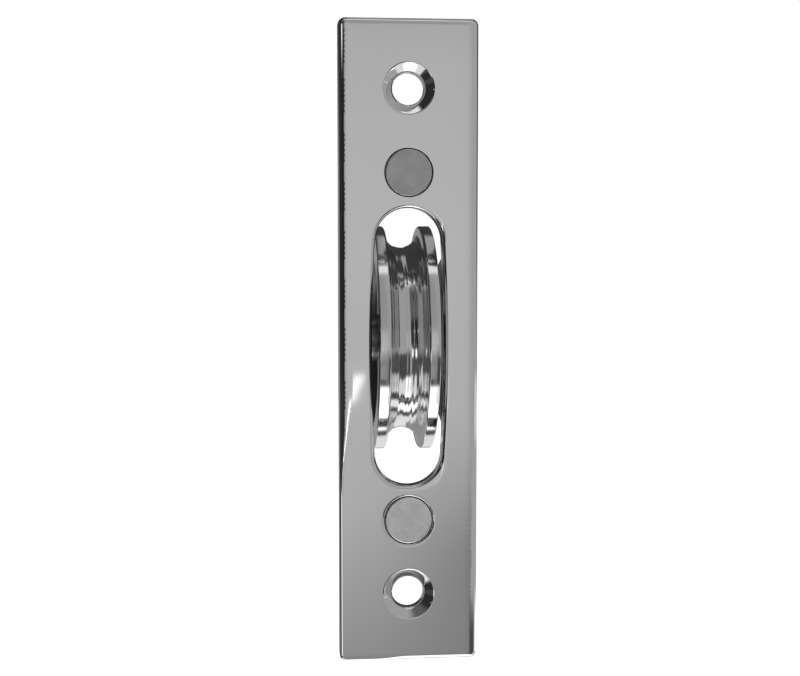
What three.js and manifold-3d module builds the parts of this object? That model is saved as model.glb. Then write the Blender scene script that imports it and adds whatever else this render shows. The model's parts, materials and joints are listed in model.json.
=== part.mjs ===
// Sash window axle pulley: a chromed faceplate with a ball bearing sheave in a pressed cradle behind it.
//
// Frame, in millimetres: the origin is the centre of the faceplate's back plane, which rests on the
// window stile. -Y is the side that is seen, +Y goes into the stile, +Z runs up the faceplate and +X
// is to the right for someone who looks at its face.

import * as THREE from 'three';
import { mergeVertices } from 'three/addons/utils/BufferGeometryUtils.js';
import Module from 'manifold-3d';

const wasm = await Module();
wasm.setup();

// ---------------------------------------------------------------- driving dimensions

const PLATE = { length: 120, width: 26, thick: 3.2, corner: 1.3, edge: 1.1 };
const MOUTH = { length: 52, endRadius: 6.25, bulge: 0.6, edge: 0.6 };
const DROP = 0.7; // how far the mouth, the rivets and the cradle's strip sit below the plate's centre
const SCREW = { spacing: 94.4, holeRadius: 2.95, sinkRadius: 4.6 };
const RIVET = { spacing: 65, faceRadius: 4.4, shankRadius: 2.5, chamfer: 0.25, land: 0.5 };
const BUTTON = { radius: 4.3, height: 1.8 };

const CRADLE = { length: 76, gauge: 1.5, innerGap: 14.2, endRadius: 4, bend: 0.4 };
const CRADLE_MOUTH = { length: 55, endRadius: 6.6 };
const CHEEK = { rootHeight: 35, taper: THREE.MathUtils.degToRad(15), relief: 0.8, overlap: 0.2 };

const SHEAVE = { radius: 22, width: 11.3, rim: 2.25, grooveDepth: 4.2, outerRound: 0.2, innerRound: 0.5 };
const WEB = { width: 7.2, recessRadius: 16.2, recessFlare: 1, lipRadius: 8.9, lip: 0.5 };
const SHEAVE_SETBACK = 18; // from the faceplate's front face to the sheave's axis

const BEARING = { bore: 6, outer: 19, width: 6, pitch: 12.5, ball: 3.5, balls: 7 };
const RACE = { innerLand: 5.1, outerLand: 7.4, grooveRadius: 1.85, chamfer: 0.3 };
const CAGE = { inner: 5.5, outer: 7.1, back: -2.25, front: 0.5, pocket: 1.9 };
const SHIELD = { inner: 5.2, outer: 7.3, from: 2.45, thick: 0.3 };

const AXLE = { radius: 2.95, headRadius: 5, headHeight: 1.5 };
const SPACER_OUTER = 4.6;
const WASHER = { outer: 6.2, thick: 0.8 };

const FIT = 0.05; // gap between pieces that rest on each other
const RING_GAP = 0.12; // visible ring round a rivet's face

const PAST = 1; // how far a cutting shape runs past what it cuts
const ROUND = { large: 60, medium: 36, small: 28, ball: 12 }; // facets round a turned piece

// ---------------------------------------------------------------- worked out

const FRONT = -PLATE.thick;
const AXIS_Y = FRONT + SHEAVE_SETBACK;
const CHEEK_IN = CRADLE.innerGap / 2;
const CHEEK_OUT = CHEEK_IN + CRADLE.gauge;
const STRIP_FRONT = FIT;
const STRIP_BACK = STRIP_FRONT + CRADLE.gauge;
const SHEAVE_HALF = SHEAVE.width / 2;
const WEB_HALF = WEB.width / 2;
const RACE_HALF = BEARING.width / 2;
const BALL_ORBIT = BEARING.pitch / 2;
const SCREW_HEIGHTS = [SCREW.spacing / 2, -SCREW.spacing / 2];
const RIVET_HEIGHTS = [RIVET.spacing / 2 - DROP, -RIVET.spacing / 2 - DROP];

// ---------------------------------------------------------------- geometry helpers

// A closed mesh: vertices are shared, and triangles that shrank to a line on an axis are dropped.
function weld(geometry) {
  const bare = geometry.clone();
  bare.deleteAttribute('normal');
  bare.deleteAttribute('uv');
  const merged = mergeVertices(bare, 1e-5);
  const index = merged.index.array;
  const kept = [];
  for (let i = 0; i < index.length; i += 3) {
    const [a, b, c] = [index[i], index[i + 1], index[i + 2]];
    if (a !== b && b !== c && c !== a) kept.push(a, b, c);
  }
  merged.setIndex(kept);
  return merged;
}

function toSolid(geometry) {
  const welded = weld(geometry);
  return new wasm.Manifold(new wasm.Mesh({
    numProp: 3,
    vertProperties: new Float32Array(welded.attributes.position.array),
    triVerts: new Uint32Array(welded.index.array),
  }));
}

function toGeometry(solid) {
  const mesh = solid.getMesh();
  const geometry = new THREE.BufferGeometry();
  geometry.setAttribute('position', new THREE.BufferAttribute(new Float32Array(mesh.vertProperties), 3));
  geometry.setIndex(Array.from(mesh.triVerts));
  return geometry;
}

// Points [radius, height] turned round Y. The outline may start and end on the axis or close on itself.
function turn(points, facets) {
  const profile = points.map(([r, h]) => new THREE.Vector2(r, h));
  if (THREE.ShapeUtils.area(profile) < 0) profile.reverse();
  const first = profile[0];
  const last = profile[profile.length - 1];
  if (first.x > 0 || last.x > 0) profile.push(first.clone());
  return new THREE.LatheGeometry(profile, facets);
}

// The same, turned round X: heights run along +X.
const turnAlongX = (points, facets) => turn(points, facets).rotateZ(-Math.PI / 2);

// Points on an arc in an outline, from one angle to another, both in degrees.
function arc(cx, cy, radius, from, to, steps) {
  return Array.from({ length: steps + 1 }, (_, i) => {
    const angle = THREE.MathUtils.degToRad(from + (to - from) * i / steps);
    return [cx + radius * Math.cos(angle), cy + radius * Math.sin(angle)];
  });
}

// An outline as a closed list of points, without the doubled ones where two arcs meet.
function closedPath(points, Kind = THREE.Shape) {
  const apart = (p, q) => Math.hypot(p[0] - q[0], p[1] - q[1]) > 1e-4;
  const kept = points.filter((point, i) => apart(point, points[(i + 1) % points.length]));
  return new Kind(kept.map(([x, y]) => new THREE.Vector2(x, y)));
}

// A flat outline in X and Z, made thick along Y from back to front.
function slab(shape, front, back, options = {}) {
  const settings = { depth: back - front, bevelEnabled: false, ...options };
  return new THREE.ExtrudeGeometry(shape, settings).rotateX(Math.PI / 2).translate(0, back, 0);
}

function roundedRectangle(width, height, radius) {
  const [x, y] = [width / 2 - radius, height / 2 - radius];
  return closedPath([
    ...arc(x, -y, radius, -90, 0, 5), ...arc(x, y, radius, 0, 90, 5),
    ...arc(-x, y, radius, 90, 180, 5), ...arc(-x, -y, radius, 180, 270, 5),
  ]);
}

// A slot with round ends, whose long sides can bow outward in one shallow arc each.
function slot(length, endRadius, bulge = 0) {
  const straight = length / 2 - endRadius;
  const radius = (straight ** 2 + bulge ** 2) / (2 * bulge);
  const centre = endRadius + bulge - radius;
  const sweep = THREE.MathUtils.radToDeg(Math.asin(straight / radius));
  const right = bulge > 0 ? arc(centre, 0, radius, -sweep, sweep, 8) : [];
  const left = bulge > 0 ? arc(-centre, 0, radius, 180 - sweep, 180 + sweep, 8) : [];
  return closedPath([
    ...right, ...arc(0, straight, endRadius, 0, 180, 14),
    ...left, ...arc(0, -straight, endRadius, 180, 360, 14),
  ], THREE.Path);
}

// ---------------------------------------------------------------- faceplate and rivets

// A rivet's face is let into a cone in the faceplate, so its back half is narrower than its face.
function rivetCone(grow) {
  const face = RIVET.faceRadius + grow;
  const shank = RIVET.shankRadius + grow;
  const wideEnd = FRONT + RIVET.land;
  return { face, shank, wideEnd, narrowEnd: wideEnd + (face - shank) };
}

function rivetGeometry() {
  const { face, shank, wideEnd, narrowEnd } = rivetCone(0);
  const seat = STRIP_BACK + FIT;
  const domeRadius = (BUTTON.radius ** 2 + BUTTON.height ** 2) / (2 * BUTTON.height);
  const domeCentre = seat + BUTTON.height - domeRadius;
  const edgeAngle = THREE.MathUtils.radToDeg(Math.asin((seat - domeCentre) / domeRadius));
  return turn([
    [0, FRONT], [face - RIVET.chamfer, FRONT], [face, FRONT + RIVET.chamfer], [face, wideEnd],
    [shank, narrowEnd], [shank, seat],
    ...arc(0, domeCentre, domeRadius, edgeAngle, 90, 5).slice(0, -1), [0, seat + BUTTON.height],
  ], ROUND.small);
}

function rivetHole() {
  const { face, shank, wideEnd, narrowEnd } = rivetCone(RING_GAP);
  return turn([
    [0, FRONT - PAST], [face, FRONT - PAST], [face, wideEnd], [shank, narrowEnd],
    [shank, STRIP_BACK + PAST], [0, STRIP_BACK + PAST],
  ], ROUND.small);
}

function screwHole() {
  const depth = SCREW.sinkRadius - SCREW.holeRadius;
  return turn([
    [0, FRONT - PAST], [SCREW.sinkRadius + PAST, FRONT - PAST], [SCREW.holeRadius, FRONT + depth],
    [SCREW.holeRadius, PAST], [0, PAST],
  ], ROUND.small);
}

function faceplateGeometry() {
  const outline = roundedRectangle(PLATE.width, PLATE.length, PLATE.corner);
  const rounded = (edge, beyond) => ({
    bevelEnabled: true, bevelThickness: edge, bevelSize: edge, bevelOffset: -edge, bevelSegments: 3,
    depth: PLATE.thick + beyond - 2 * edge,
  });
  const beyond = 2 * PLATE.edge;
  const blank = toSolid(slab(outline, FRONT, beyond, rounded(PLATE.edge, beyond)).translate(0, -PLATE.edge, 0));

  const margin = 2 * PAST;
  const pierced = roundedRectangle(PLATE.width + margin, PLATE.length + margin, PLATE.corner);
  pierced.holes.push(slot(MOUTH.length, MOUTH.endRadius, MOUTH.bulge));
  const ring = slab(pierced, FRONT, beyond, rounded(MOUTH.edge, beyond)).translate(0, -MOUTH.edge, -DROP);

  const far = PLATE.width;
  const behind = new THREE.BoxGeometry(2 * far, far, 2 * PLATE.length).translate(0, far / 2, 0);
  let plate = blank.intersect(toSolid(ring)).subtract(toSolid(behind));
  for (const z of SCREW_HEIGHTS) plate = plate.subtract(toSolid(screwHole().translate(0, 0, z)));
  for (const z of RIVET_HEIGHTS) plate = plate.subtract(toSolid(rivetHole().translate(0, 0, z)));
  return toGeometry(plate);
}

// ---------------------------------------------------------------- cradle

// Section of one cheek and its bend, looking along Z: the strip's edge, the bend, the cheek.
function cheekSection(depth) {
  const outerBend = CRADLE.bend + CRADLE.gauge;
  const edge = CRADLE_MOUTH.endRadius;
  return closedPath([
    [edge, STRIP_FRONT], ...arc(CHEEK_OUT - outerBend, STRIP_FRONT + outerBend, outerBend, -90, 0, 6),
    [CHEEK_OUT, depth], [CHEEK_IN, depth],
    ...arc(CHEEK_IN - CRADLE.bend, STRIP_BACK + CRADLE.bend, CRADLE.bend, 0, -90, 3), [edge, STRIP_BACK],
  ]);
}

// Side view of a cheek: it narrows from its root to an arc round the axle.
function cheekOutline() {
  const half = CHEEK.rootHeight / 2;
  const noseRadius = half * Math.cos(CHEEK.taper) - AXIS_Y * Math.sin(CHEEK.taper);
  const taper = THREE.MathUtils.radToDeg(CHEEK.taper);
  const nose = arc(AXIS_Y, 0, noseRadius, taper - 90, 90 - taper, 16);
  return { shape: closedPath([[-PAST, -half], ...nose, [-PAST, half]]), tip: AXIS_Y + noseRadius };
}

// A pressed strip behind the faceplate whose two wings are bent back into cheeks, with a small relief
// notch at each end of each bend.
function cradleGeometry() {
  const width = 2 * CHEEK_OUT;
  const blank = roundedRectangle(width, CRADLE.length, CRADLE.endRadius);
  blank.holes.push(slot(CRADLE_MOUTH.length, CRADLE_MOUTH.endRadius));
  const strip = toSolid(slab(blank, STRIP_FRONT, STRIP_BACK).translate(0, 0, -DROP));

  const { shape: sideView, tip } = cheekOutline();
  const side = new THREE.ExtrudeGeometry(sideView, { depth: width, bevelEnabled: false })
    .rotateX(Math.PI / 2).rotateZ(Math.PI / 2);
  const rise = { depth: CHEEK.rootHeight, bevelEnabled: false };
  const bent = new THREE.ExtrudeGeometry(cheekSection(tip + PAST), rise).translate(0, 0, -CHEEK.rootHeight / 2);
  const cheek = toSolid(bent).intersect(toSolid(side));

  const bendRoot = CHEEK_IN - CRADLE.bend;
  const box = (from, to, height) => toSolid(
    new THREE.BoxGeometry(to - from, 2 * (STRIP_BACK + PAST), height).translate((from + to) / 2, 0, 0),
  );
  const room = box(bendRoot, width, CHEEK.rootHeight - CHEEK.overlap);
  const reliefs = box(CHEEK_OUT - CHEEK.relief, width, CHEEK.rootHeight + 2 * CHEEK.relief);
  const half = room.add(reliefs);
  let cradle = strip.subtract(half).subtract(half.mirror([1, 0, 0]));
  cradle = cradle.add(cheek).add(cheek.mirror([1, 0, 0]));

  const [bore, end] = [AXLE.radius + FIT, CHEEK_OUT + PAST];
  const axleHole = turnAlongX([[0, -end], [bore, -end], [bore, end], [0, end]], ROUND.small);
  cradle = cradle.subtract(toSolid(axleHole.translate(0, AXIS_Y, 0)));
  for (const z of RIVET_HEIGHTS) cradle = cradle.subtract(toSolid(rivetHole().translate(0, 0, z)));
  return toGeometry(cradle);
}

// ---------------------------------------------------------------- sheave, axle and bearing, turned round X

function sheaveGeometry() {
  const grooveHalf = SHEAVE_HALF - SHEAVE.rim;
  const floor = SHEAVE.radius - SHEAVE.grooveDepth;
  const flare = WEB.recessRadius + WEB.recessFlare;
  const { radius, outerRound, innerRound } = SHEAVE;
  const seat = BEARING.outer / 2 + FIT;
  return turnAlongX([
    [WEB.lipRadius, -WEB_HALF], [WEB.recessRadius, -WEB_HALF], [flare, -SHEAVE_HALF],
    ...arc(radius - outerRound, -SHEAVE_HALF + outerRound, outerRound, -90, 0, 2),
    ...arc(radius - innerRound, -grooveHalf - innerRound, innerRound, 0, 90, 3),
    ...arc(floor + grooveHalf, 0, grooveHalf, 270, 90, 10),
    ...arc(radius - innerRound, grooveHalf + innerRound, innerRound, -90, 0, 3),
    ...arc(radius - outerRound, SHEAVE_HALF - outerRound, outerRound, 0, 90, 2),
    [flare, SHEAVE_HALF], [WEB.recessRadius, WEB_HALF],
    [seat, WEB_HALF], [seat, -WEB_HALF + WEB.lip], [WEB.lipRadius, -WEB_HALF + WEB.lip],
  ], ROUND.large);
}

function outerRaceGeometry() {
  const r = BEARING.outer / 2;
  const c = RACE.chamfer;
  const half = THREE.MathUtils.radToDeg(Math.acos((RACE.outerLand - BALL_ORBIT) / RACE.grooveRadius));
  return turnAlongX([
    [RACE.outerLand, -RACE_HALF], [r - c, -RACE_HALF], [r, -RACE_HALF + c], [r, RACE_HALF - c],
    [r - c, RACE_HALF], [RACE.outerLand, RACE_HALF],
    ...arc(BALL_ORBIT, 0, RACE.grooveRadius, half, -half, 4),
  ], ROUND.medium);
}

function innerRaceGeometry() {
  const r = BEARING.bore / 2 + FIT / 2;
  const c = RACE.chamfer;
  const half = THREE.MathUtils.radToDeg(Math.acos((BALL_ORBIT - RACE.innerLand) / RACE.grooveRadius));
  return turnAlongX([
    [r + c, -RACE_HALF], [RACE.innerLand, -RACE_HALF],
    ...arc(BALL_ORBIT, 0, RACE.grooveRadius, 180 + half, 180 - half, 4),
    [RACE.innerLand, RACE_HALF], [r + c, RACE_HALF], [r, RACE_HALF - c], [r, -RACE_HALF + c],
  ], ROUND.medium);
}

const ballAngle = (i) => 2 * Math.PI * i / BEARING.balls;
const ballPlace = (i) => [0, BALL_ORBIT * Math.sin(ballAngle(i)), BALL_ORBIT * Math.cos(ballAngle(i))];

// A crown cage: a thin ring behind the balls, with a prong between each two.
function cageGeometry() {
  let cage = toSolid(turnAlongX([
    [CAGE.inner, CAGE.back], [CAGE.outer, CAGE.back], [CAGE.outer, CAGE.front], [CAGE.inner, CAGE.front],
  ], ROUND.medium));
  for (let i = 0; i < BEARING.balls; i += 1) {
    const pocket = new THREE.SphereGeometry(CAGE.pocket, ROUND.ball, ROUND.ball / 2);
    cage = cage.subtract(toSolid(pocket.rotateX(ballAngle(i)).translate(...ballPlace(i))));
  }
  return toGeometry(cage);
}

const ringAlongX = (inner, outer, from, to) => (
  turnAlongX([[inner, from], [outer, from], [outer, to], [inner, to]], ROUND.medium)
);

// Made from the left: a formed head, the pin, and the end that is peened over the washer.
function axleGeometry() {
  const { radius, headRadius, headHeight } = AXLE;
  const left = -CHEEK_OUT - FIT;
  const right = CHEEK_OUT + WASHER.thick + 2 * FIT;
  const dome = (seat, way) => [
    [headRadius, seat], [headRadius, seat + way * headHeight * 0.4],
    [headRadius * 0.8, seat + way * headHeight * 0.85], [headRadius * 0.45, seat + way * headHeight],
    [0, seat + way * headHeight],
  ];
  return turnAlongX([
    ...dome(left, -1).reverse(), [radius, left], [radius, right], ...dome(right, 1),
  ], ROUND.small);
}

// ---------------------------------------------------------------- the assembly

const FINISH = {
  chrome: { color: 0xc4c4c4, roughness: 0.12, metalness: 1 },
  peened: { color: 0x9a9a98, roughness: 0.42, metalness: 1 },
  plated: { color: 0xa8abad, roughness: 0.35, metalness: 1 },
  bearing: { color: 0xb4b6b8, roughness: 0.2, metalness: 1 },
  cage: { color: 0x8d8f90, roughness: 0.5, metalness: 1 },
};

function piece(name, geometry, finish) {
  const mesh = new THREE.Mesh(weld(geometry), new THREE.MeshStandardMaterial({ ...FINISH[finish] }));
  mesh.geometry.computeVertexNormals();
  mesh.name = name;
  return mesh;
}

const pulley = new THREE.Group();
pulley.add(piece('faceplate', faceplateGeometry(), 'chrome'));
pulley.add(piece('cradle', cradleGeometry(), 'plated'));

['rivet_upper', 'rivet_lower'].forEach((name, i) => {
  const rivet = piece(name, rivetGeometry(), 'peened');
  rivet.position.z = RIVET_HEIGHTS[i];
  pulley.add(rivet);
});

const onAxle = new THREE.Group();
onAxle.position.y = AXIS_Y;
pulley.add(onAxle);

const spacerFrom = RACE_HALF + FIT;
const spacerTo = CHEEK_IN - FIT;
const washerFrom = CHEEK_OUT + FIT;
const loose = AXLE.radius + FIT;
onAxle.add(piece('axle_pin', axleGeometry(), 'plated'));
onAxle.add(piece('spacer_left', ringAlongX(loose, SPACER_OUTER, -spacerTo, -spacerFrom), 'plated'));
onAxle.add(piece('spacer_right', ringAlongX(loose, SPACER_OUTER, spacerFrom, spacerTo), 'plated'));
onAxle.add(piece('axle_washer', ringAlongX(loose, WASHER.outer, washerFrom, washerFrom + WASHER.thick), 'plated'));

const shieldTo = SHIELD.from + SHIELD.thick;
onAxle.add(piece('sheave', sheaveGeometry(), 'chrome'));
onAxle.add(piece('bearing_outer_race', outerRaceGeometry(), 'bearing'));
onAxle.add(piece('bearing_inner_race', innerRaceGeometry(), 'bearing'));
onAxle.add(piece('bearing_shield_left', ringAlongX(SHIELD.inner, SHIELD.outer, -shieldTo, -SHIELD.from), 'bearing'));
onAxle.add(piece('bearing_shield_right', ringAlongX(SHIELD.inner, SHIELD.outer, SHIELD.from, shieldTo), 'bearing'));
onAxle.add(piece('bearing_cage', cageGeometry(), 'cage'));

for (let i = 0; i < BEARING.balls; i += 1) {
  const sphere = new THREE.SphereGeometry(BEARING.ball / 2, ROUND.ball, ROUND.ball / 2);
  const ball = piece(`bearing_ball_${i + 1}`, sphere, 'bearing');
  ball.position.set(...ballPlace(i));
  onAxle.add(ball);
}

export default pulley;
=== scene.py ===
"""Looks of the sash window axle pulley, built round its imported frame. Lengths are in metres."""

import json
import math

import bmesh
import bpy
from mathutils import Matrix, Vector
from mathutils.geometry import delaunay_2d_cdt


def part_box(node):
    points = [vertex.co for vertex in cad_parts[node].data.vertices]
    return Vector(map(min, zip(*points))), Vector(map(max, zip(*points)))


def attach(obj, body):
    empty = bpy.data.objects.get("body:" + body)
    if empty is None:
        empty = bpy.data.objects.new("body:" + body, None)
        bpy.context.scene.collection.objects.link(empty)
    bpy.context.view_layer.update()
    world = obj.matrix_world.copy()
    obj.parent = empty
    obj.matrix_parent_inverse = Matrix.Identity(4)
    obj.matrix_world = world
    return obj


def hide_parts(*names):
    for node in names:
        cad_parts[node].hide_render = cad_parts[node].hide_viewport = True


MM = 0.001

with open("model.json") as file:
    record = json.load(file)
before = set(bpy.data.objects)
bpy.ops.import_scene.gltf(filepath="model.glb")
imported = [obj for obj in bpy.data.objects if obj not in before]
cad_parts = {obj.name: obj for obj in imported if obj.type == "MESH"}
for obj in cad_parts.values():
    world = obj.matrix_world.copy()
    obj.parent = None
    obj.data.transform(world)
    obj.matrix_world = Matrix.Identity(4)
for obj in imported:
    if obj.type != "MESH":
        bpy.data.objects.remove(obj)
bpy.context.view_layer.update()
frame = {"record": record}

# ---------------------------------------- places, from the frame


def centre_of(node):
    low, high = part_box(node)
    return (low + high) / 2


def body_of(node):
    groups = frame["record"]["behaviour"]["bodies"]
    return next(body for body, members in groups.items() if node in members)


plate_low, plate_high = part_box("faceplate")
FRONT = plate_low.y
BACK = plate_high.y
HALF_WIDTH = plate_high.x
HALF_LENGTH = plate_high.z
sheave_low, sheave_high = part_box("sheave")
AXIS_Y = (sheave_low.y + sheave_high.y) / 2
SHEAVE_RADIUS = sheave_high.z
SHEAVE_HALF = sheave_high.x
RIVET_HEIGHTS = [centre_of(node).z for node in ("rivet_upper", "rivet_lower")]


# ---------------------------------------- camera and surroundings

CAMERA_PLACE = Vector((-25.8, -261.2, 20.3)) * MM
CAMERA_YAW = math.radians(5.35)     # turned to the right, towards the faceplate
CAMERA_PITCH = math.radians(4.22)   # tipped down
CAMERA_LENS = 62.9                  # mm, on a 36 mm wide sensor


def make_camera():
    data = bpy.data.cameras.new("camera")
    data.lens = CAMERA_LENS
    data.sensor_width = 36
    data.clip_start = 0.01
    camera = bpy.data.objects.new("camera", data)
    camera.location = CAMERA_PLACE
    camera.rotation_euler = (math.pi / 2 - CAMERA_PITCH, 0, -CAMERA_YAW)
    bpy.context.scene.collection.objects.link(camera)
    bpy.context.scene.camera = camera


class Nodes:
    """A small builder of node trees: numbers and sockets go in, sockets come out."""

    def __init__(self, tree):
        self.tree = tree
        tree.nodes.clear()

    def add(self, kind, **settings):
        node = self.tree.nodes.new(kind)
        for key, value in settings.items():
            setattr(node, key, value)
        return node

    def feed(self, socket, value):
        if isinstance(value, bpy.types.NodeSocket):
            self.tree.links.new(value, socket)
        else:
            socket.default_value = value

    def math(self, operation, *values):
        node = self.add("ShaderNodeMath", operation=operation)
        for socket, value in zip(node.inputs, values):
            self.feed(socket, value)
        return node.outputs[0]

    def ramp(self, value, low, high):
        """0 on low's side, 1 on high's side, and smooth between them."""
        node = self.add("ShaderNodeMapRange", interpolation_type="SMOOTHSTEP")
        for name, number in (("Value", value), ("From Min", low), ("From Max", high)):
            self.feed(node.inputs[name], number)
        return node.outputs["Result"]

    def mix(self, share, low, high):
        node = self.add("ShaderNodeMix", data_type="FLOAT")
        for socket, value in zip((node.inputs[0], node.inputs[2], node.inputs[3]), (share, low, high)):
            self.feed(socket, value)
        return node.outputs[0]

    def noise(self, place, scale, detail=2.0, roughness=0.5):
        node = self.add("ShaderNodeTexNoise")
        values = {"Vector": place, "Scale": scale, "Detail": detail, "Roughness": roughness}
        for name, value in values.items():
            self.feed(node.inputs[name], value)
        return node.outputs["Fac"]

    def grey(self, value):
        node = self.add("ShaderNodeCombineColor")
        for socket in node.inputs:
            self.feed(socket, value)
        return node.outputs[0]


# What the polished metal reflects. Over the top: brightness by angle in the plane that the wheel turns in,
# 0 straight out of the faceplate, 90 overhead, -90 below and 180 behind.
OVERHEAD = [
    (-180, 0.34), (-160, 0.42), (-150, 0.95), (-118, 1.0), (-115, 0.06), (-107, 0.06),
    (-104, 1.8), (-48, 1.8), (-46, 0.04), (-40, 0.04), (-38, 0.36), (-27, 0.36),
    (-22, 0.29), (-17, 0.36), (-11, 0.55), (0, 0.60), (7, 0.56), (14, 0.38),
    (70, 0.36), (73, 1.0), (86, 1.0), (88, 0.05), (94, 0.05), (97, 0.30),
    (125, 0.24), (146, 0.12), (160, 0.05), (176, 0.06), (180, 0.25),
]
OVERHEAD_TOP = 2.0  # brighter than any of them
# Patches round the horizon, in degrees. Azimuth is 0 straight out of the faceplate and grows to the right.
# Elevation is 0 at the horizon. Softness is half the width of a patch's blurred edge. A slanted patch moves
# to the left by slant degrees for each degree below its top. Later patches lie over earlier ones.
#   name, azimuth from and to, elevation from and to, softness in azimuth and in elevation, slant, brightness
AROUND = [
    ("grey_on_the_right", 10, 102, -17, 68, 3, 3, 0, 0.44),
    ("dark_behind_on_the_right", 106, 146, -2, 80, 3, 3, 0, 0.05),
    ("grey_behind_on_the_right", 106, 146, -46, -4, 3, 3, 0, 0.34),
    ("grey_behind_on_the_left", -184, -118, -46, 6, 5, 5, 0, 0.32),
    ("dark_high_behind", 146, 214, 7, 80, 5, 5, 0, 0.05),
    ("dark_high_behind_left", -214, -112, 7, 80, 5, 5, 0, 0.05),
    ("grey_far_up_behind", 150, 176, 48, 86, 4, 4, 0, 0.42),
    ("dim_below_left", -85, -13, -66, -43, 4, 4, 0, 0.95),
    ("dim_below_right", 17, 85, -66, -43, 4, 4, 0, 0.95),
    ("dim_low_right", 6.5, 16, -45, -10.5, 3.6, 3.6, 0, 0.27),
    ("grey_low_right", 75, 92, -57, -12, 1, 1.5, 0, 0.45),
    ("gap_low_right", 11, 66, -45, -15.2, 1, 1, 0, 0.08),
    ("white_low_right", 94, 150, -19.5, -14.8, 1, 1, 0, 1.4),
    ("pale_patch_right", 70, 150, -8.4, -5.8, 0.5, 0.5, 0, 0.75),
    ("dim_on_the_left", -112, -13, -40, 66, 10, 8, 0, 0.14),
    ("dusk_on_the_left", -112, -17, -22, 24, 14, 4, 0, 0.02),
    ("dusk_far_left", -112, -62, -46, 66, 6, 6, 0, 0.03),
    ("dark_low_left", -112, -24, -22, -8, 3, 3, 0, 0.07),
    ("dark_slant_low_left", -34, -14, -46, -20, 4, 3, 1.8, 0.07),
    ("pale_low_left", -22, -5, -46, -9, 1.5, 1.5, 0, 0.45),
    ("window_on_the_left", -66, -46, 7.3, 9.5, 1, 1, 0, 1.2),
    ("strip_low_left", 0.2, 3.1, -11.5, -6.8, 0.6, 0.2, 6.5, 1.9),
    ("line_low_left", -38, -22, -19, -10.5, 2.5, 0.8, 0, 1.9),
    ("tip_of_the_strip", 3.45, 3.88, -6.9, -5.7, 0.12, 0.15, 0.35, 1.6),
]
BACKDROP = 1.0
DEGREES = 180 / math.pi


def overhead_light(n, pitch):
    """Brightness by the pitch, an angle in radians from straight out of the faceplate."""
    ramp = n.add("ShaderNodeValToRGB")
    n.feed(ramp.inputs[0], n.math("ADD", n.math("DIVIDE", pitch, 2 * math.pi), 0.5))
    stops = ramp.color_ramp.elements
    for i, (angle, value) in enumerate(OVERHEAD):
        share = angle / 360 + 0.5
        stop = stops[i] if i < 2 else stops.new(share)  # a new ramp has two stops
        stop.position = share
        stop.color = (value / OVERHEAD_TOP,) * 3 + (1,)
    return n.math("MULTIPLY", ramp.outputs["Color"], OVERHEAD_TOP)


def patch(n, azimuth, elevation, az_from, az_to, el_from, el_to, az_soft, el_soft, slant):
    """1 inside a patch of the surroundings and 0 outside it."""
    below = n.math("MULTIPLY", n.math("SUBTRACT", el_to, elevation), slant)
    shifted = n.math("ADD", azimuth, below)
    inside = n.ramp(shifted, az_from - az_soft, az_from + az_soft)
    inside = n.math("MULTIPLY", inside, n.ramp(shifted, az_to + az_soft, az_to - az_soft))
    inside = n.math("MULTIPLY", inside, n.ramp(elevation, el_from - el_soft, el_from + el_soft))
    return n.math("MULTIPLY", inside, n.ramp(elevation, el_to + el_soft, el_to - el_soft))


def make_world():
    world = bpy.data.worlds.new("room")
    bpy.context.scene.world = world
    world.use_nodes = True
    n = Nodes(world.node_tree)
    place = n.add("ShaderNodeTexCoord").outputs["Generated"]
    split = n.add("ShaderNodeSeparateXYZ")
    n.feed(split.inputs[0], place)
    x, y, z = split.outputs
    forward = n.math("MULTIPLY", y, -1.0)
    elevation = n.math("MULTIPLY", n.math("ARCSINE", z), DEGREES)
    azimuth = n.math("MULTIPLY", n.math("ARCTAN2", x, forward), DEGREES)
    brightness = overhead_light(n, n.math("ARCTAN2", z, forward))
    for _, *shape, value in AROUND:
        brightness = n.mix(patch(n, azimuth, elevation, *shape), brightness, value)

    path = n.add("ShaderNodeLightPath")
    brightness = n.mix(path.outputs["Is Camera Ray"], brightness, BACKDROP)
    background = n.add("ShaderNodeBackground")
    n.feed(background.inputs["Color"], n.grey(brightness))
    output = n.add("ShaderNodeOutputWorld")
    n.feed(output.inputs["Surface"], background.outputs[0])


FLOOR_HEIGHT = -0.2
FLOOR_FRONT = -0.145
FLOOR_LEFT = -1.2
FLOOR_RIGHT = 0.5
FLOOR_BACK = 1.6
FLOOR_GREY = 0.86
FLOOR_GLOW = 1.05


def make_floor():
    corners = [
        (FLOOR_LEFT, FLOOR_FRONT, FLOOR_HEIGHT), (FLOOR_RIGHT, FLOOR_FRONT, FLOOR_HEIGHT),
        (FLOOR_RIGHT, FLOOR_BACK, FLOOR_HEIGHT), (FLOOR_LEFT, FLOOR_BACK, FLOOR_HEIGHT),
    ]
    mesh = bpy.data.meshes.new("floor")
    mesh.from_pydata(corners, [], [(0, 1, 2, 3)])
    floor = bpy.data.objects.new("floor", mesh)
    bpy.context.scene.collection.objects.link(floor)
    material = bpy.data.materials.new("pale_floor")
    material.use_nodes = True
    n = Nodes(material.node_tree)
    shader = n.add("ShaderNodeBsdfPrincipled")
    n.feed(shader.inputs["Base Color"], (FLOOR_GREY,) * 3 + (1,))
    n.feed(shader.inputs["Roughness"], 0.9)
    n.feed(shader.inputs["Emission Color"], (1, 1, 1, 1))
    n.feed(shader.inputs["Emission Strength"], FLOOR_GLOW)
    n.feed(n.add("ShaderNodeOutputMaterial").inputs["Surface"], shader.outputs[0])
    mesh.materials.append(material)
    floor.visible_glossy = False


# ---------------------------------------- materials

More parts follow.
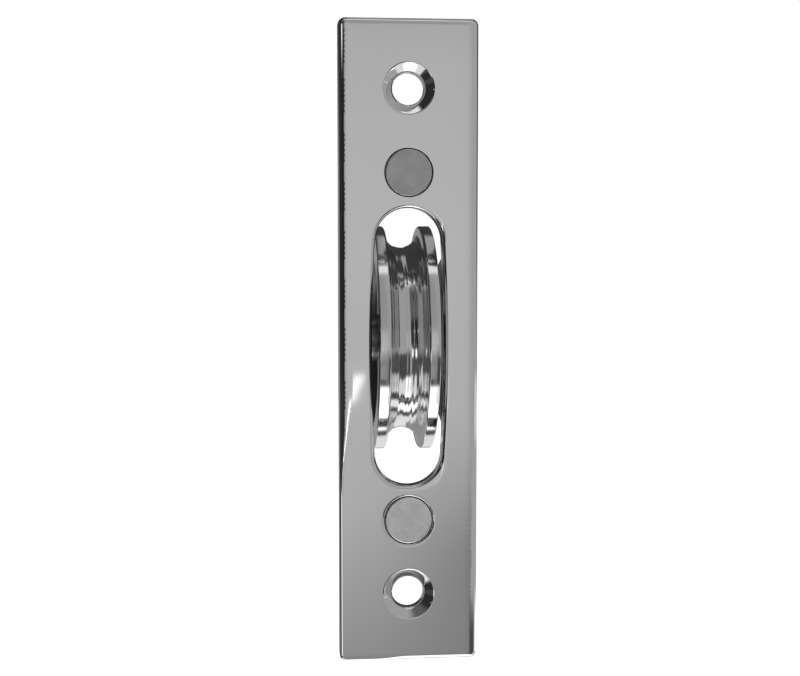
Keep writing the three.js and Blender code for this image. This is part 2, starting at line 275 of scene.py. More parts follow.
def metal(name, base, roughness, build):
    """
    A metal with a base grey and a roughness. build(nodes, place) gives what varies them: a share of the grey,
    a share of the roughness, and the bumps' height, strength and depth.
    """
    material = bpy.data.materials.new(name)
    material.use_nodes = True
    n = Nodes(material.node_tree)
    place = n.add("ShaderNodeTexCoord").outputs["Object"]
    shade, rough, height, strength, distance = build(n, place)
    shader = n.add("ShaderNodeBsdfPrincipled")
    n.feed(shader.inputs["Metallic"], 1.0)
    n.feed(shader.inputs["Base Color"], n.grey(n.math("MULTIPLY", shade, base)))
    n.feed(shader.inputs["Roughness"], n.math("MULTIPLY", rough, roughness))
    bump = n.add("ShaderNodeBump")
    n.feed(bump.inputs["Height"], height)
    n.feed(bump.inputs["Strength"], strength)
    n.feed(bump.inputs["Distance"], distance)
    n.feed(shader.inputs["Normal"], bump.outputs[0])
    n.feed(n.add("ShaderNodeOutputMaterial").inputs["Surface"], shader.outputs[0])
    return material


def scaled(n, place, x, y, z):
    node = n.add("ShaderNodeVectorMath", operation="MULTIPLY")
    n.feed(node.inputs[0], place)
    n.feed(node.inputs[1], (x, y, z))
    return node.outputs[0]


def axle_polar(n, place):
    """x, distance from the sheave's axis and angle round it."""
    split = n.add("ShaderNodeSeparateXYZ")
    n.feed(split.inputs[0], place)
    x, y, z = split.outputs
    y = n.math("SUBTRACT", y, AXIS_Y)
    radius = n.math("SQRT", n.math("ADD", n.math("MULTIPLY", y, y), n.math("MULTIPLY", z, z)))
    return x, radius, n.math("ARCTAN2", z, y)


TURN_STRETCH = 0.8 * MM  # how far a turned mark's pattern moves for each radian round the axis


def radial(n, place):
    """(x, distance from the sheave's axis, small share of the angle) for turned marks."""
    x, radius, angle = axle_polar(n, place)
    node = n.add("ShaderNodeCombineXYZ")
    for socket, value in zip(node.inputs, (x, radius, n.math("MULTIPLY", angle, TURN_STRETCH))):
        n.feed(socket, value)
    return node.outputs[0]


def chrome_plate():
    def build(n, place):
        cloud = n.noise(place, 55, 3)
        wipes = n.noise(scaled(n, place, 1, 1, 0.12), 900, 4, 0.6)
        shade = n.math("ADD", 0.97, n.math("MULTIPLY", cloud, 0.06))
        rough = n.math("ADD", 0.75, n.math("MULTIPLY", wipes, 0.5))
        swell = n.noise(place, 38, 2)
        height = n.math("ADD", swell, n.math("MULTIPLY", wipes, 0.004))
        return shade, rough, height, 1.0, 0.02 * MM
    return metal("chrome_plate", 0.74, 0.035, build)


DULL_AND_SHADED_RADIUS = 17.4 * MM  # inside this the plating is thin and dull, and its colour is darkened as painted shade between the cradle's cheeks
DULL_AND_SHADED_FADE = 0.2 * MM
DULL_PAINTED_SHADE = 0.35
DULL_ROUGH = 3.5


def chrome_turned():
    def build(n, place):
        around = radial(n, place)
        radius = axle_polar(n, place)[1]
        lines = n.noise(around, 1500, 5, 0.65)
        waves = n.noise(around, 520, 2)
        cloud = n.noise(place, 160, 3)
        dull_and_shaded = n.ramp(radius, DULL_AND_SHADED_RADIUS + DULL_AND_SHADED_FADE, DULL_AND_SHADED_RADIUS - DULL_AND_SHADED_FADE)
        shade = n.math("ADD", 0.9, n.math("MULTIPLY", cloud, 0.16))
        # painted shade: the wheel's sides near the hub are darkened, standing in for the shadow between the
        # cradle's cheeks; the extra roughness is the duller plating
        shade = n.mix(dull_and_shaded, shade, DULL_PAINTED_SHADE)
        rough = n.math("ADD", 0.7, n.math("MULTIPLY", lines, 0.7))
        rough = n.mix(dull_and_shaded, rough, DULL_ROUGH)
        height = n.math("ADD", waves, n.math("MULTIPLY", lines, 0.12))
        return shade, rough, height, 1.0, 0.08 * MM
    return metal("chrome_turned", 0.72, 0.12, build)


def peened_steel(name, base):
    def build(n, place):
        cloud = n.noise(place, 420, 4, 0.6)
        pits = n.noise(place, 1700, 3, 0.6)
        shade = n.math("ADD", 0.75, n.math("MULTIPLY", cloud, 0.5))
        rough = n.math("ADD", 0.75, n.math("MULTIPLY", pits, 0.5))
        height = n.math("ADD", cloud, n.math("MULTIPLY", pits, 0.35))
        return shade, rough, height, 0.6, 0.06 * MM
    return metal(name, base, 0.36, build)


def zinc_plate():
    def build(n, place):
        cloud = n.noise(place, 260, 5, 0.6)
        rolled = n.noise(scaled(n, place, 1, 1, 0.06), 1400, 3, 0.6)
        shade = n.math("ADD", 0.84, n.math("MULTIPLY", cloud, 0.3))
        rough = n.math("ADD", 0.72, n.math("MULTIPLY", rolled, 0.6))
        height = n.math("ADD", cloud, n.math("MULTIPLY", rolled, 0.4))
        return shade, rough, height, 0.5, 0.04 * MM
    return metal("zinc_plate", 0.62, 0.34, build)


def turned_steel(name, base, roughness):
    def build(n, place):
        lines = n.noise(radial(n, place), 2600, 4, 0.6)
        cloud = n.noise(place, 300, 3)
        shade = n.math("ADD", 0.9, n.math("MULTIPLY", cloud, 0.2))
        rough = n.math("ADD", 0.7, n.math("MULTIPLY", lines, 0.6))
        return shade, rough, lines, 0.5, 0.03 * MM
    return metal(name, base, roughness, build)


# ---------------------------------------- shared mesh work

WELD = 0.002 * MM
ON_AXIS = 1e-7
SAME_PLACE = 1e-7


def weld(mesh, distance):
    """Join the points of a mesh that are closer than the distance."""
    bm = bmesh.new()
    bm.from_mesh(mesh)
    bmesh.ops.remove_doubles(bm, verts=bm.verts, dist=distance)
    bm.to_mesh(mesh)
    bm.free()


SHARP = 35  # degrees; an edge that turns by more is shaded as a crease


def new_piece(name, verts, faces, material, body, slot, *replaced, sharp=SHARP):
    """A smooth-shaded piece that rides on a body and stands for CAD nodes."""
    mesh = bpy.data.meshes.new(name)
    mesh.from_pydata(verts, [], faces)
    mesh.validate()
    weld(mesh, WELD)
    mesh.update()
    mesh.polygons.foreach_set("use_smooth", [True] * len(mesh.polygons))
    mesh.set_sharp_from_angle(angle=math.radians(sharp))
    mesh.materials.append(material)
    piece = bpy.data.objects.new(name, mesh)
    bpy.context.scene.collection.objects.link(piece)
    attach(piece, body)
    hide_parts(*replaced)
    return piece


def arc(cx, cy, radius, start, end, steps):
    """Points on an arc, from one angle to another in degrees."""
    angles = [math.radians(start + (end - start) * i / steps) for i in range(steps + 1)]
    return [(cx + radius * math.cos(a), cy + radius * math.sin(a)) for a in angles]


GENTLE = math.radians(25)  # a corner that turns by less than this stays as it is
SIDE_SHARE = 0.45          # of a side that the rounding of one of its corners may take


def softened(points, radius, steps, closed=True):
    """An outline with corners rounded by up to radius. Gentle corners and an open outline's ends stay."""
    soft = []
    for i, corner in enumerate(points):
        here = Vector(corner)
        if not closed and i in (0, len(points) - 1):
            soft.append(tuple(here))
            continue
        before = Vector(points[i - 1]) - here
        after = Vector(points[(i + 1) % len(points)]) - here
        turn = math.pi - before.angle(after)
        if turn < GENTLE:
            soft.append(tuple(here))
            continue
        reach = min(radius * math.tan(turn / 2), before.length * SIDE_SHARE, after.length * SIDE_SHARE)
        a = here + before.normalized() * reach
        b = here + after.normalized() * reach
        for k in range(steps + 1):
            t = k / steps
            soft.append(tuple(a * (1 - t) ** 2 + here * 2 * t * (1 - t) + b * t * t))
    return soft


def half_circle(radius, steps):
    """The (radius, height) outline of a ball, from its top to its bottom."""
    angles = [math.pi * k / steps for k in range(1, steps)]
    return [(0, radius)] + [(radius * math.sin(a), radius * math.cos(a)) for a in angles] + [(0, -radius)]


def turned(outline, facets, centre, axis="x"):
    """Vertices and faces of an outline of (radius, height), turned round the axis through centre."""
    area = sum(p[0] * q[1] - q[0] * p[1] for p, q in zip(outline, outline[1:] + outline[:1]))
    if area < 0:
        outline = outline[::-1]
    verts = []
    rings = []
    for radius, height in outline:
        ring = []
        for i in range(facets if radius > ON_AXIS else 1):
            angle = 2 * math.pi * i / facets
            side, up = radius * math.sin(angle), radius * math.cos(angle)
            offset = (height, side, up) if axis == "x" else (up, height, side)
            ring.append(len(verts))
            verts.append(tuple(Vector(centre) + Vector(offset)))
        rings.append(ring)
    faces = []
    for a, b in zip(rings, rings[1:] + rings[:1]):
        if len(a) == 1 and len(b) == 1:
            continue
        for i in range(facets):
            j = (i + 1) % facets
            corners = [a[i % len(a)], b[i % len(b)], b[j % len(b)], a[j % len(a)]]
            faces.append(list(dict.fromkeys(corners)))
    return verts, faces


# ---------------------------------------- faceplate

CORNER = 1.3 * MM           # in plan
EDGE = 1.1 * MM             # tight rounding of the outer edge
CRISP_EDGE = 0.55 * MM      # the same at the lower left, where the polishing wheel took less
CRISP_DROP = (12 * MM, 28 * MM)  # how far below the middle the crisp edge starts and is complete
CRISP_ACROSS = 6 * MM       # and how far to the left of the middle it is complete
CRISP_BUFFING = 0.35        # share of the buffed depth that is left there
BUFFED = 2.4 * MM           # how far in from the edge the polishing wheel took some metal
BUFFED_DEPTH = 0.3 * MM
BUFFED_FALL = 2.6           # how steeply that depth grows towards the edge
OTHER_SHARE = 0.3           # of that depth on the right, upper and lower edges
OTHER_REACH = 0.6           # of that reach on the upper and lower edges
MOUTH_CENTRE = -0.7 * MM
MOUTH_HALF = 26 * MM
MOUTH_END = 6.25 * MM
MOUTH_BULGE = 0.6 * MM
MOUTH_STRAIGHT = MOUTH_HALF - MOUTH_END  # from its middle to the centre of a round end
MOUTH_BOW = (MOUTH_STRAIGHT ** 2 + MOUTH_BULGE ** 2) / (2 * MOUTH_BULGE)  # radius of its bowed sides
MOUTH_BOW_CENTRE = MOUTH_END + MOUTH_BULGE - MOUTH_BOW
MOUTH_EDGE = 0.6 * MM
MOUTH_WORN = 0.45 * MM      # extra rounding at the mouth's lower left
WORN_DROP = (10 * MM, 24 * MM)
WORN_ACROSS = 3 * MM
MOUTH_BUFFED = 1.1 * MM
MOUTH_BUFFED_DEPTH = 0.07 * MM
DUG_REACH = 0.35            # how much wider the buffing round the mouth is for each time that it is deeper
# places round the mouth where the polishing wheel dug in: x, z, spread and how many times deeper
DUG_IN = [(6.4 * MM, 21.5 * MM, 3.0 * MM, 2.6), (5.2 * MM, -25.4 * MM, 3.2 * MM, 2.0)]
SCREW_HEIGHT = 47.2 * MM
SINK_RADIUS = 4.6 * MM
HOLE_RADIUS = 2.95 * MM
SINK_ROUND = 0.5 * MM
SINK_SLOPE = 41             # degrees, of the countersink's wall to the face
HOLE_ROUND = 0.12 * MM
RIVET_FACE = 4.4 * MM
RIVET_GAP = 0.12 * MM
RIVET_SEAT = RIVET_FACE + RIVET_GAP
RIVET_LAND = 0.5 * MM       # depth of the straight part of a rivet's face
RIVET_EDGES = (0.1 * MM, 0.4 * MM)  # rounding of the faceplate round the upper and the lower rivet
SHANK = 2.5 * MM
BACK_CHAMFER = 0.15 * MM
SCREW_HEIGHTS = (SCREW_HEIGHT, -SCREW_HEIGHT)


def rectangle_ring(inset, spacing):
    """Points round the plate's outline, moved in by inset."""
    radius = max(CORNER - inset, 0.02 * MM)
    hx, hz = HALF_WIDTH - inset - radius, HALF_LENGTH - inset - radius
    steps = 10 if inset < CORNER else 1
    points = []
    for sx, sz, start in ((1, -1, -90), (1, 1, 0), (-1, 1, 90), (-1, -1, 180)):
        points += arc(sx * hx, sz * hz, radius, start, start + 90, steps)
    return filled(points, spacing)


def filled(points, spacing):
    """A closed outline with points added so that no side is longer than spacing."""
    out = []
    for p, q in zip(points, points[1:] + points[:1]):
        length = math.dist(p, q)
        if length < SAME_PLACE:
            continue
        count = max(1, math.ceil(length / spacing))
        out += [(p[0] + (q[0] - p[0]) * k / count, p[1] + (q[1] - p[1]) * k / count) for k in range(count)]
    return out


def mouth_ring(outset, spacing):
    """Points round the mouth's outline, moved out by outset: two round ends and two shallow arcs."""
    sweep = math.degrees(math.asin(MOUTH_STRAIGHT / MOUTH_BOW))
    end_steps = 40
    side_steps = 60
    points = arc(MOUTH_BOW_CENTRE, 0, MOUTH_BOW + outset, -sweep, sweep, side_steps)
    points += arc(0, MOUTH_STRAIGHT, MOUTH_END + outset, 0, 180, end_steps)
    points += arc(-MOUTH_BOW_CENTRE, 0, MOUTH_BOW + outset, 180 - sweep, 180 + sweep, side_steps)
    points += arc(0, -MOUTH_STRAIGHT, MOUTH_END + outset, 180, 360, end_steps)
    return filled([(x, z + MOUTH_CENTRE) for x, z in points], spacing)


def circle_ring(height, radius, count):
    """Points round a hole that is on the plate's middle line at a height."""
    return [(x, z + height) for x, z in arc(0, 0, radius, 0, 360, count)[:-1]]


def outer_distance(x, z):
    """How far inside the plate's outline a point is."""
    qx, qz = abs(x) - HALF_WIDTH + CORNER, abs(z) - HALF_LENGTH + CORNER
    return CORNER - math.hypot(max(qx, 0), max(qz, 0)) - min(max(qx, qz), 0)


def mouth_distance(x, z):
    """How far outside the mouth's outline a point is."""
    x, z = abs(x), abs(z - MOUTH_CENTRE)
    if z > MOUTH_STRAIGHT:
        return math.hypot(x, z - MOUTH_STRAIGHT) - MOUTH_END
    return math.hypot(x - MOUTH_BOW_CENTRE, z) - MOUTH_BOW


def rounding(distance, radius):
    """Depth of a quarter-round edge at a distance from it."""
    if distance >= radius:
        return 0.0
    return radius - math.sqrt(max(radius ** 2 - (radius - max(distance, 0)) ** 2, 0))


def shoulder(distance, radius, slope):
    """Depth of an edge rounded only as far as a slope, in degrees, which it meets at distance 0."""
    reach = radius * math.sin(math.radians(slope))
    if distance >= reach:
        return 0.0
    return radius - math.sqrt(radius ** 2 - (reach - max(distance, 0)) ** 2)


def buffing(distance, reach, depth):
    """Depth of the long gentle fall that a polishing wheel leaves towards an edge."""
    if distance >= reach:
        return 0.0
    return depth * (1 - max(distance, 0) / reach) ** BUFFED_FALL


def smooth_step(value, low, high):
    """0 below low, 1 above high, and smooth between them."""
    t = min(1, max(0, (value - low) / (high - low)))
    return t * t * (3 - 2 * t)


def face_depth(x, z):
    """How far behind the highest part of the faceplate's front a point of the front is."""
    crisp = smooth_step(-z, *CRISP_DROP) * smooth_step(-x, 0, CRISP_ACROSS)
    depth = rounding(outer_distance(x, z), EDGE + (CRISP_EDGE - EDGE) * crisp)
    share = OTHER_SHARE if x > 0 else 1 - (1 - CRISP_BUFFING) * crisp
    depth += buffing(HALF_WIDTH - abs(x), BUFFED, BUFFED_DEPTH * share)
    depth += buffing(HALF_LENGTH - abs(z), BUFFED * OTHER_REACH, BUFFED_DEPTH * OTHER_SHARE)
    near_mouth = mouth_distance(x, z)
    dug = sum(more * math.exp(-((x - at_x) ** 2 + (z - at_z) ** 2) / spread ** 2)
              for at_x, at_z, spread, more in DUG_IN)
    worn = smooth_step(-z, *WORN_DROP) * smooth_step(-x, 0, WORN_ACROSS)
    depth += rounding(near_mouth, MOUTH_EDGE + MOUTH_WORN * worn)
    depth += buffing(near_mouth, MOUTH_BUFFED * (1 + DUG_REACH * dug), MOUTH_BUFFED_DEPTH * (1 + dug))
    for height in SCREW_HEIGHTS:
        away = math.hypot(x, z - height) - SINK_RADIUS
        depth += shoulder(away, SINK_ROUND, SINK_SLOPE)
    for height, radius in zip(RIVET_HEIGHTS, RIVET_EDGES):
        depth += rounding(math.hypot(x, z - height) - RIVET_SEAT, radius)
    return depth


def quarter(radius, steps):
    """Distances from an edge whose quarter-round heights are evenly turned."""
    return [radius * (1 - math.sin(math.pi / 2 * k / steps)) for k in range(steps, -1, -1)]


def triangulate(outer, holes, extra, inside):
    """Triangles of a flat area bounded by outer and holes, using the extra points too."""
    points = list(outer)
    edges = [(i, (i + 1) % len(outer)) for i in range(len(outer))]
    for hole in holes:
        first = len(points)
        points += hole
        edges += [(first + i, first + (i + 1) % len(hole)) for i in range(len(hole))]
    points += extra
    coords, _, faces, *_ = delaunay_2d_cdt([Vector(p) for p in points], edges, [], 0, 1e-9)
    kept = []
    for face in faces:
        x = sum(coords[i].x for i in face) / 3
        z = sum(coords[i].y for i in face) / 3
        if inside(x, z):
            kept.append(tuple(face))
    return [(c.x, c.y) for c in coords], kept


def plate_is_solid(sink, rivet):
    """A test for points on the plate and off its openings, with these radii for the holes."""
    def inside(x, z):
        if outer_distance(x, z) < 0 or mouth_distance(x, z) < 0:
            return False
        if any(math.hypot(x, z - height) < sink for height in SCREW_HEIGHTS):
            return False
        return all(math.hypot(x, z - height) > rivet for height in RIVET_HEIGHTS)
    return inside


SINK_STEPS = 6
RING = 96                   # points round each screw and rivet hole
NEAR_HOLE = 0.01 * MM       # a point of another ring that is nearer to a hole would split the hole's outline
RIM_SPACING = 0.9 * MM      # between the points of a ring near the plate's edge
INNER_SPACING = 1.0 * MM    # and of a ring further in
MOUTH_SPACING = 0.55 * MM
NEAR_MOUTH_SPACING = 0.6 * MM
GRID = 1.7 * MM             # between the points of the rest of the front, which starts this far from:
GRID_FROM_EDGE = 5 * MM
GRID_FROM_MOUTH = 2.4 * MM
GRID_SINK = 6 * MM          # and outside these radii round a screw hole and a rivet
GRID_RIVET = 5.4 * MM

# how far from each outline the front has rings of points, besides those of the outline's own rounding
RIM_RINGS = [d * MM for d in (1.15, 1.22, 1.29)]
INNER_RINGS = [d * MM for d in (1.35, 1.7, 2.1, 2.6, 3.2, 3.9, 4.7)]
MOUTH_RINGS = [d * MM for d in (0.7, 0.82, 0.95, 1.1, 1.3, 1.6, 2.0)]
SINK_RINGS = [d * MM for d in (0, 0.06, 0.13, 0.22, 0.33, 0.5, 0.9)]
RIVET_RINGS = [d * MM for d in (0, 0.02, 0.05, 0.1, 0.17, 0.3, 0.6)]


def plate_hole_walls():
    """For each hole in the faceplate: its height and the (radius, y) steps of its wall, front to back."""
    seat = FRONT + shoulder(0, SINK_ROUND, SINK_SLOPE)
    slope = math.tan(math.radians(SINK_SLOPE))
    across = SINK_RADIUS - HOLE_RADIUS - HOLE_ROUND
    runs = [across * k / SINK_STEPS for k in range(SINK_STEPS + 1)]
    screw = [(SINK_RADIUS - run, seat + run * slope) for run in runs]
    corner = seat + (across + HOLE_ROUND) * slope
    screw += [(HOLE_RADIUS, corner + HOLE_ROUND), (HOLE_RADIUS, BACK - BACK_CHAMFER), (HOLE_RADIUS, BACK)]
    wide = RIVET_SEAT
    narrow = SHANK + RIVET_GAP
    land = FRONT + RIVET_LAND
    rivet = [(wide, land), (narrow, land + wide - narrow), (narrow, BACK)]
    rivets = [(z, [(wide, FRONT + edge)] + rivet) for z, edge in zip(RIVET_HEIGHTS, RIVET_EDGES)]
    return [(z, screw) for z in SCREW_HEIGHTS] + rivets


SLOPE_STEP = 0.01 * MM
ON_SURFACE = 0.002 * MM
STEEPEST_CHANGE = math.radians(9)  # a corner whose shading would turn by more is on a crease, and stays
PLATE_SHARP = 40


def slope_normal(x, z):
    """Outward normal of the polished front at a point."""
    across = face_depth(x + SLOPE_STEP, z) - face_depth(x - SLOPE_STEP, z)
    up = face_depth(x, z + SLOPE_STEP) - face_depth(x, z - SLOPE_STEP)
    return Vector((across / (2 * SLOPE_STEP), -1, up / (2 * SLOPE_STEP))).normalized()


def shade_by_slope(mesh):
    """Shade the front by the true slope of its surface, which its triangles only come near to."""
    normals = [Vector(corner.vector) for corner in mesh.corner_normals]
    slopes = {}
    for vertex in mesh.vertices:
        x, y, z = vertex.co
        if abs(y - FRONT - face_depth(x, z)) < ON_SURFACE:
            slopes[vertex.index] = slope_normal(x, z)
    for polygon in mesh.polygons:
        if not all(i in slopes for i in polygon.vertices):
            continue
        for loop, i in zip(polygon.loop_indices, polygon.vertices):
            if normals[loop].angle(slopes[i]) < STEEPEST_CHANGE:
                normals[loop] = slopes[i]
    mesh.normals_split_custom_set(normals)


def front_rings():
    """Rings of points round the plate's edge, mouth and holes, closest together where the front bends."""
    edge = [rectangle_ring(d, RIM_SPACING) for d in quarter(EDGE, 10) + RIM_RINGS]
    edge += [rectangle_ring(d, INNER_SPACING) for d in INNER_RINGS]
    mouth = [mouth_ring(d, MOUTH_SPACING) for d in quarter(MOUTH_EDGE, 7)]
    mouth += [mouth_ring(d, NEAR_MOUTH_SPACING) for d in MOUTH_RINGS]
    holes = [circle_ring(z, SINK_RADIUS + d, RING) for z in SCREW_HEIGHTS for d in SINK_RINGS]
    holes += [circle_ring(z, RIVET_SEAT + d, RING) for z in RIVET_HEIGHTS for d in RIVET_RINGS]
    return edge, mouth, holes


def front_grid():
    """Evenly spaced points over the rest of the front."""
    clear_of_holes = plate_is_solid(GRID_SINK, GRID_RIVET)
    columns = int(HALF_WIDTH / GRID)
    rows = int(HALF_LENGTH / GRID)
    points = []
    for i in range(-columns, columns + 1):
        for j in range(-rows, rows + 1):
            x, z = i * GRID, j * GRID
            clear = mouth_distance(x, z) > GRID_FROM_MOUTH and outer_distance(x, z) > GRID_FROM_EDGE
            if clear and clear_of_holes(x, z):
                points.append((x, z))
    return points


def add_band(verts, faces, rings, outward):
    """Add quads between rings of the same number of points."""
    indices = []
    for ring in rings:
        indices.append(range(len(verts), len(verts) + len(ring)))
        verts.extend(ring)
    for a, b in zip(indices, indices[1:]):
        for i in range(len(a)):
            j = (i + 1) % len(a)
            quad = (a[i], a[j], b[j], b[i])
            faces.append(quad[::-1] if outward else quad)


def inset_point(x, z):
    """The point of the back face's outline next to one on the rim."""
    cx = max(min(x, HALF_WIDTH - CORNER), -HALF_WIDTH + CORNER)
    cz = max(min(z, HALF_LENGTH - CORNER), -HALF_LENGTH + CORNER)
    away = Vector((x - cx, z - cz))
    away = away * (1 - BACK_CHAMFER / away.length)
    return cx + away.x, cz + away.y


def on_front(points):
    return [(x, FRONT + face_depth(x, z), z) for x, z in points]


def at_depth(points, y):
    return [(x, y, z) for x, z in points]


def make_faceplate(material):
    edge_rings, mouth_rings, hole_rings = front_rings()
    rim = edge_rings[0]
    mouth = mouth_rings[0]
    walls = plate_hole_walls()
    holes = [mouth] + [circle_ring(z, wall[0][0], RING) for z, wall in walls]
    borders = set(rim) | {p for hole in holes for p in hole}
    extra = [p for ring in edge_rings + mouth_rings + hole_rings for p in ring if p not in borders]
    clear_of_holes = plate_is_solid(SINK_RADIUS + NEAR_HOLE, RIVET_SEAT + NEAR_HOLE)
    extra = [p for p in extra if clear_of_holes(*p)] + front_grid()
    flat, faces = triangulate(rim, holes, extra, plate_is_solid(SINK_RADIUS, RIVET_SEAT))
    verts = on_front(flat)

    back_holes = [mouth] + [circle_ring(z, wall[-1][0], RING) for z, wall in walls]
    back_solid = plate_is_solid(HOLE_RADIUS, SHANK + RIVET_GAP)
    flat, back_faces = triangulate(rectangle_ring(BACK_CHAMFER, RIM_SPACING), back_holes, [], back_solid)
    base = len(verts)
    verts += at_depth(flat, BACK)
    faces += [tuple(base + i for i in reversed(face)) for face in back_faces]

    back_edge = [inset_point(*p) for p in rim]
    outside = [on_front(rim), at_depth(rim, BACK - BACK_CHAMFER), at_depth(back_edge, BACK)]
    add_band(verts, faces, outside, True)
    add_band(verts, faces, [on_front(mouth), at_depth(mouth, BACK)], False)
    for height, wall in walls:
        rings = [at_depth(circle_ring(height, radius, RING), y) for radius, y in wall]
        add_band(verts, faces, rings, False)
    plate = new_piece(
        "faceplate_polished", verts, faces, material, "frame", "faceplate", "faceplate", sharp=PLATE_SHARP)
    shade_by_slope(plate.data)


# ---------------------------------------- rivets

RIVET_ROUND = 0.3 * MM      # of the flush face's edge
BUTTON_RADIUS = 4.3 * MM    # of the formed end behind the cradle
BUTTON_HEIGHT = 1.8 * MM
BUTTON_STEP = 0.1 * MM      # between its dome and its seat's edge


def make_rivet(node, material):
    low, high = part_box(node)
    seat = high.y - BUTTON_HEIGHT
    dome = (BUTTON_RADIUS ** 2 + BUTTON_HEIGHT ** 2) / (2 * BUTTON_HEIGHT)
    dome_start = math.degrees(math.asin((dome - BUTTON_HEIGHT) / dome)) + 1
    land = low.y + RIVET_LAND
    outline = [(RIVET_FACE * k / 8, low.y) for k in range(8)]
    outline += arc(RIVET_FACE - RIVET_ROUND, low.y + RIVET_ROUND, RIVET_ROUND, -90, 0, 5)
    outline += [(RIVET_FACE, land), (SHANK, land + RIVET_FACE - SHANK), (SHANK, seat)]
    outline += [(BUTTON_RADIUS - BUTTON_STEP, seat)]
    outline += arc(0, high.y - dome, dome, dome_start, 90, 10)[:-1] + [(0, high.y)]
    verts, faces = turned(outline, 96, (0, 0, centre_of(node).z), "y")
    new_piece(node + "_peened", verts, faces, material, "frame", "rivet", node)


# ---------------------------------------- sheave

RIM = 1.75 * MM
GROOVE_DEPTH = 4.2 * MM
RIM_OUTER_ROUND = 0.18 * MM
RIM_INNER_ROUND = 0.5 * MM
WEB_HALF = 3.6 * MM
RECESS = 16.2 * MM
RECESS_FLARE = 0.9 * MM
RECESS_ROUND = 0.4 * MM
SEAT = 9.55 * MM                # the bearing's
LIP = 8.9 * MM                  # that it rests against
LIP_THICK = 0.5 * MM
GROOVE_STEPS = 130
CALM_EDGE = 2.2                 # how fast the ripples grow from the groove's edges
# ripples left by the turning: length, height and phase
GROOVE_RIPPLES = [(2.3 * MM, 0.034 * MM, 0.6), (1.2 * MM, 0.018 * MM, 2.1), (0.66 * MM, 0.007 * MM, 4.0)]


def ripple(distance):
    """Height of the turning ripples at a distance along the groove's section."""
    return sum(high * math.sin(2 * math.pi * distance / long + phase) for long, high, phase in GROOVE_RIPPLES)


def groove_bowl(floor, radius):
    """The groove's round section, from its right side to its left one, with the ripples of its turning."""
    bowl = []
    for k in range(1, GROOVE_STEPS):
        angle = math.pi * k / GROOVE_STEPS
        calm = min(1, math.sin(angle) * CALM_EDGE)
        deep = radius + ripple(radius * angle) * calm
        bowl.append((floor + radius - deep * math.sin(angle), deep * math.cos(angle)))
    return bowl


def make_sheave(material):
    outer, inner = RIM_OUTER_ROUND, RIM_INNER_ROUND
    groove = SHEAVE_HALF - RIM - inner
    rim_side = (SHEAVE_RADIUS - outer, SHEAVE_HALF)
    right = softened(
        [(SEAT, WEB_HALF), (RECESS, WEB_HALF), (RECESS + RECESS_FLARE, SHEAVE_HALF), rim_side],
        RECESS_ROUND, 4, closed=False)[:-1]
    right += arc(SHEAVE_RADIUS - outer, SHEAVE_HALF - outer, outer, 90, 0, 6)
    right += arc(SHEAVE_RADIUS - inner, groove + inner, inner, 0, -90, 7)
    left = [(radius, -height) for radius, height in reversed(right)]
    lip = [(LIP, -WEB_HALF), (LIP, -WEB_HALF + LIP_THICK), (SEAT, -WEB_HALF + LIP_THICK)]
    outline = right + groove_bowl(SHEAVE_RADIUS - GROOVE_DEPTH, groove) + left + lip
    verts, faces = turned(outline, 256, (0, AXIS_Y, 0))
    new_piece("sheave_turned", verts, faces, material, "wheel", "sheave", "sheave")


# ---------------------------------------- cradle

cradle_low, cradle_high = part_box("cradle")
GAUGE = 1.5 * MM
CHEEK_OUT = cradle_high.x
BEND = 0.4 * MM                        # inside radius
BEND_MIDDLE = BEND + GAUGE / 2
BEND_START = CHEEK_OUT - GAUGE - BEND  # where the strip starts to bend back
BEND_LENGTH = BEND_MIDDLE * math.pi / 2
STRIP_MIDDLE = cradle_low.y + GAUGE / 2
BEND_CENTRE_Y = cradle_low.y + GAUGE + BEND
FLAT_OFFSET = BEND_START + BEND_LENGTH - BEND_CENTRE_Y  # across the flat blank, less depth on a cheek
STRIP_END = 4 * MM
THROAT_HALF = 27.5 * MM
THROAT_END = 6.6 * MM
CHEEK_ROOT = 17.25 * MM                # half the height of a cheek at its root
CHEEK_TAPER = 15                       # degrees
NOTCH_DEPTH = 1.4 * MM
NOTCH_HEIGHT = 1.3 * MM
NOTCH_ROUND = 0.55 * MM
TAPER_RUN = 4 * MM                     # length of the straight edges drawn next to a notch
PUNCHED_EDGE = 0.2 * MM
PRESSED_SPACING = 1.5 * MM             # between the points of the flat blank's outlines
BEND_STEPS = 10                        # columns of points over a bend
BEND_ROWS = 11                         # rows of points there above the middle, and below it
AXLE_HOLE = 3.0 * MM
RIVET_HOLE = SHANK + RIVET_GAP


def bent(across, through, up):
    """A point of the flat blank after its wings are bent back: through grows towards the stile."""
    side = 1 if across > 0 else -1
    across = abs(across)
    if across < BEND_START:
        return (side * across, STRIP_MIDDLE + through, up)
    radius = BEND_MIDDLE - through
    angle = min((across - BEND_START) / BEND_MIDDLE, math.pi / 2)
    beyond = max(across - BEND_START - BEND_LENGTH, 0)
    x = BEND_START + radius * math.sin(angle)
    return (side * x, BEND_CENTRE_Y - radius * math.cos(angle) + beyond, up)


